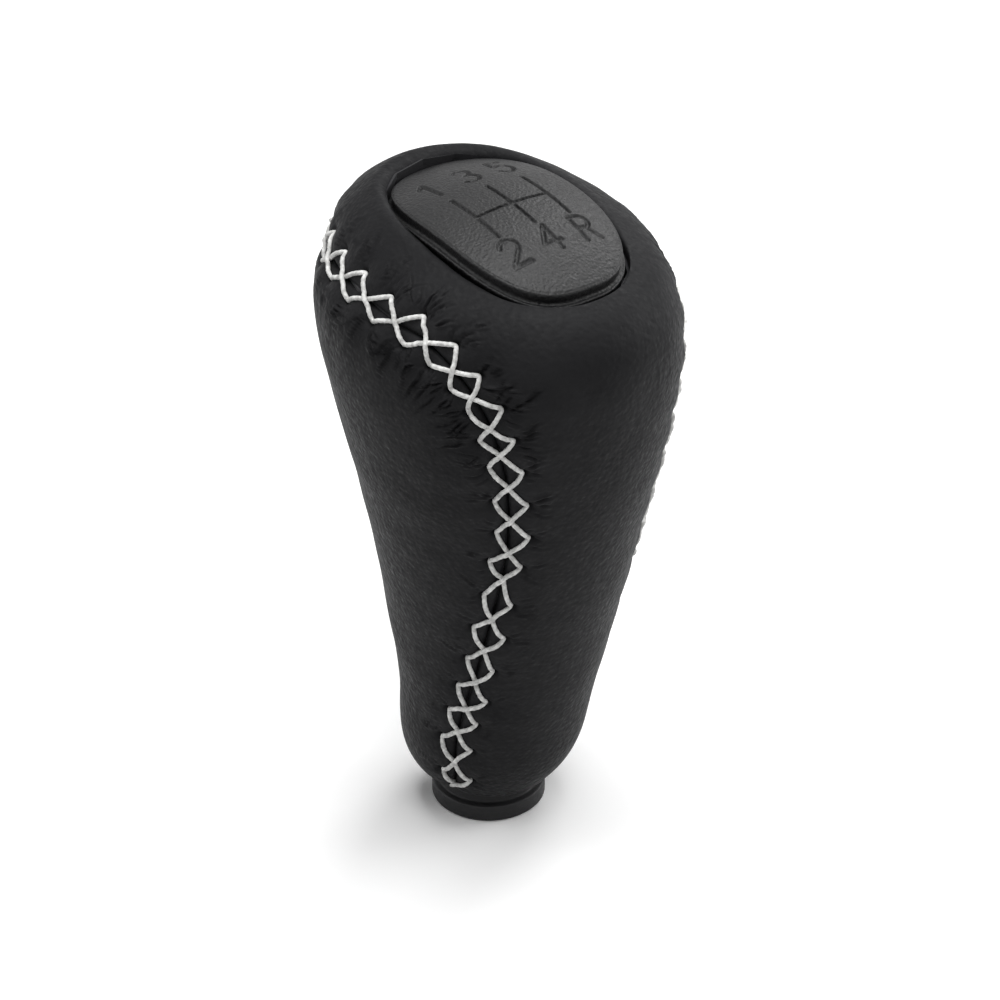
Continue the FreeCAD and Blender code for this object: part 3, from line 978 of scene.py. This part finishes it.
def bump(tree, shader, height, distance, strength=1.0, under=None):
    node = add_node(tree, "ShaderNodeBump", Strength=strength, Distance=distance)
    tree.links.new(height, node.inputs["Height"])
    if under is not None:
        tree.links.new(under, node.inputs["Normal"])
    tree.links.new(node.outputs["Normal"], shader.inputs["Normal"])
    return node.outputs["Normal"]


def place_of(tree):
    return tree.nodes.new("ShaderNodeTexCoord").outputs["Object"]


def leather_material():
    material, tree, shader = new_material("black_leather")
    place = place_of(tree)
    patches = noise(tree, place, 90)
    fine = noise(tree, place, 1100, detail=4)
    tree.links.new(colour_ramp(tree, patches, *LEATHER_COLOURS), shader.inputs["Base Color"])
    tree.links.new(ramp(tree, fine, *LEATHER_ROUGHNESS), shader.inputs["Roughness"])
    pebble = cells(tree, place, 1500)
    folds = noise(tree, place, 800, detail=4, roughness=0.6)
    under = bump(tree, shader, folds, 0.00022, strength=0.55)
    bump(tree, shader, pebble, 0.00012, strength=0.75, under=under)
    shader.inputs["Specular IOR Level"].default_value = LEATHER_SPECULAR
    return material


def plastic_material(name, colours, roughness, grain_scale, grain_height):
    material, tree, shader = new_material(name)
    shader.inputs["Specular IOR Level"].default_value = PLASTIC_SPECULAR
    place = place_of(tree)
    tree.links.new(colour_ramp(tree, noise(tree, place, 160), *colours), shader.inputs["Base Color"])
    tree.links.new(ramp(tree, noise(tree, place, 1400), roughness - 0.05, roughness + 0.08),
                   shader.inputs["Roughness"])
    pebble = cells(tree, place, grain_scale)
    grain = math_node(tree, "ADD", pebble, noise(tree, place, grain_scale * 0.7, detail=4))
    bump(tree, shader, grain, grain_height, strength=0.6)
    return material


def thread_material():
    material, tree, shader = new_material("pale_thread")
    place = place_of(tree)
    fibres = noise(tree, place, 1300, detail=5)
    tree.links.new(colour_ramp(tree, fibres, *THREAD_COLOURS), shader.inputs["Base Color"])
    tree.links.new(ramp(tree, noise(tree, place, 2500), *THREAD_ROUGHNESS), shader.inputs["Roughness"])
    bump(tree, shader, noise(tree, place, 5000, detail=4), 0.00008, strength=0.7)
    return material


def steel_material():
    material, tree, shader = new_material("turned_steel")
    place = place_of(tree)
    tree.links.new(colour_ramp(tree, noise(tree, place, 200), *STEEL_COLOURS), shader.inputs["Base Color"])
    tree.links.new(ramp(tree, noise(tree, place, 900), *STEEL_ROUGHNESS), shader.inputs["Roughness"])
    shader.inputs["Metallic"].default_value = 1.0
    bump(tree, shader, noise(tree, place, 3000), 0.00004, strength=0.4)
    return material


def dress(obj, material):
    obj.data.materials.clear()
    obj.data.materials.append(material)


# Studio

def look_along(right, back):
    right = Vector(right).normalized()
    back = Vector(back).normalized()
    up = back.cross(right)
    return Matrix((right, up, back)).transposed()


CAMERA_PLACE = (-378.2, 281.1, 343.9)
CAMERA_RIGHT = (-0.5994, -0.8004, 0.0)
CAMERA_BACK = (-0.6795, 0.5089, 0.5284)
LENS = 140.5
SENSOR = 36.0


def add_camera():
    data = bpy.data.cameras.new("photo_camera")
    data.sensor_width = SENSOR
    data.lens = LENS
    data.clip_start = 0.01
    camera = bpy.data.objects.new("photo_camera", data)
    turn = look_along(CAMERA_RIGHT, CAMERA_BACK).to_4x4()
    camera.matrix_world = Matrix.Translation(Vector(CAMERA_PLACE) * MM) @ turn
    bpy.context.scene.collection.objects.link(camera)
    bpy.context.scene.camera = camera


# Lamps: name, place, aim, size and power, in metres and watts
SOFTBOXES = (
    ("overhead_softbox", (0.04, -0.03, 0.95), (0, 0, 0), 0.5, 5.8),
    ("crown_softbox", (-0.42, 0.12, 0.8), (0, 0, 0.06), 0.5, 3.0),
    ("left_softbox", (0.4, 0.6, 0.55), (0, 0, 0.06), 0.5, 1.8),
    ("right_softbox", (-0.3, -0.85, 0.36), (0, 0, 0.06), 0.5, 3.8),
    ("far_softbox", (0.28, -0.68, 0.72), (0, 0, 0.06), 0.4, 3.2),
)


def add_softbox(name, place, aim, size, power):
    data = bpy.data.lights.new(name, "AREA")
    data.shape = "RECTANGLE"
    data.size = size
    data.size_y = size
    data.energy = power
    light = bpy.data.objects.new(name, data)
    light.location = place
    light.rotation_euler = (Vector(aim) - Vector(place)).to_track_quat("-Z", "Y").to_euler()
    bpy.context.scene.collection.objects.link(light)


def camera_like_rays(tree):
    """One for rays that show the background: seen, mirrored or through glass."""
    rays = tree.nodes.new("ShaderNodeLightPath")
    shown = math_node(tree, "MAXIMUM", rays.outputs["Is Camera Ray"], rays.outputs["Is Glossy Ray"])
    return math_node(tree, "MAXIMUM", shown, rays.outputs["Is Transmission Ray"])


FLOOR_HALF = 4.0
FLOOR_MOTTLE = (0.99, 1.01)
FLOOR_SHOWN = 1.08
FLOOR_BOUNCE = 0.7
BACKDROP_NEAR = 0.18
BACKDROP_FAR = 0.42
WORLD_LIGHT = 0.06


def add_floor():
    mesh = bpy.data.meshes.new("studio_floor")
    half = FLOOR_HALF
    corners = [(-half, -half, 0), (half, -half, 0), (half, half, 0), (-half, half, 0)]
    mesh.from_pydata(corners, [], [(0, 1, 2, 3)])
    floor = bpy.data.objects.new("studio_floor", mesh)
    bpy.context.scene.collection.objects.link(floor)
    material = bpy.data.materials.new("white_floor")
    material.use_nodes = True
    tree = material.node_tree
    tree.nodes.clear()
    output = tree.nodes.new("ShaderNodeOutputMaterial")
    paper = tree.nodes.new("ShaderNodeBsdfDiffuse")
    place = place_of(tree)
    mottle = ramp(tree, noise(tree, place, 3), *FLOOR_MOTTLE)
    shade = ramp(tree, camera_like_rays(tree), FLOOR_BOUNCE, FLOOR_SHOWN, 0.0, 1.0)
    tree.links.new(math_node(tree, "MULTIPLY", mottle, shade), paper.inputs["Color"])
    backdrop = tree.nodes.new("ShaderNodeEmission")
    tree.links.new(mottle, backdrop.inputs["Strength"])
    distance = tree.nodes.new("ShaderNodeVectorMath")
    distance.operation = "LENGTH"
    tree.links.new(place, distance.inputs[0])
    far = ramp(tree, distance.outputs["Value"], 0.0, 1.0, BACKDROP_NEAR, BACKDROP_FAR)
    blend = tree.nodes.new("ShaderNodeMixShader")
    tree.links.new(math_node(tree, "MULTIPLY", far, camera_like_rays(tree)), blend.inputs["Fac"])
    tree.links.new(paper.outputs["BSDF"], blend.inputs[1])
    tree.links.new(backdrop.outputs["Emission"], blend.inputs[2])
    tree.links.new(blend.outputs["Shader"], output.inputs["Surface"])
    dress(floor, material)


def add_world():
    world = bpy.data.worlds.new("studio")
    bpy.context.scene.world = world
    world.use_nodes = True
    tree = world.node_tree
    tree.nodes.clear()
    output = tree.nodes.new("ShaderNodeOutputWorld")
    sky = tree.nodes.new("ShaderNodeBackground")
    strength = ramp(tree, camera_like_rays(tree), WORLD_LIGHT, 1.0, 0.0, 1.0)
    tree.links.new(strength, sky.inputs["Strength"])
    tree.links.new(sky.outputs["Background"], output.inputs["Surface"])


# The scene

front, seam_edge, front_top, front_runs = front_panel()
crown = crown_panel(front_top, front_runs)
seam = Seam(points_of(front)[seam_edge], normals_of(front)[seam_edge])
marks = stitch_marks(seam.length)
crown_holes, wrap_holes = holes(marks)
crown_lay = leather_relief(crown, seam, *crown_holes)
wrap_lay = leather_relief(front, seam, *wrap_holes)
lay = LeatherLay(seam, [(*crown_lay, 1), (*wrap_lay, -1)])
thread_a = thread_piece("lacing_a", seam, lay, thread_route(marks, crown_holes, wrap_holes, 0))
thread_b = thread_piece("lacing_b", seam, lay, thread_route(marks, crown_holes, wrap_holes, 1))
cap = cap_piece()
collar = collar_piece()

leather = leather_material()
thread = thread_material()
cap_plastic = plastic_material("grained_cap_plastic", CAP_COLOURS, *CAP_FINISH)
collar_plastic = plastic_material("collar_plastic", COLLAR_COLOURS, *COLLAR_FINISH)
core_plastic = plastic_material("core_plastic", CORE_COLOURS, *CORE_FINISH)

for piece, node, slot, material in (
    (front, "front_wrap_leather", "leather", leather),
    (crown, "crown_back_leather", "leather", leather),
    (thread_a, "lacing_thread_a", "thread", thread),
    (thread_b, "lacing_thread_b", "thread", thread),
    (cap, "shift_pattern_cap", "cap", cap_plastic),
    (collar, "lower_collar", "collar", collar_plastic),
):
    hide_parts(node)
    dress(piece, material)
dress(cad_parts["knob_core"], core_plastic)
dress(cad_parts["lever_insert"], steel_material())

add_camera()
add_floor()
add_world()
for softbox in SOFTBOXES:
    add_softbox(*softbox)

bpy.context.scene.view_settings.view_transform = "Standard"
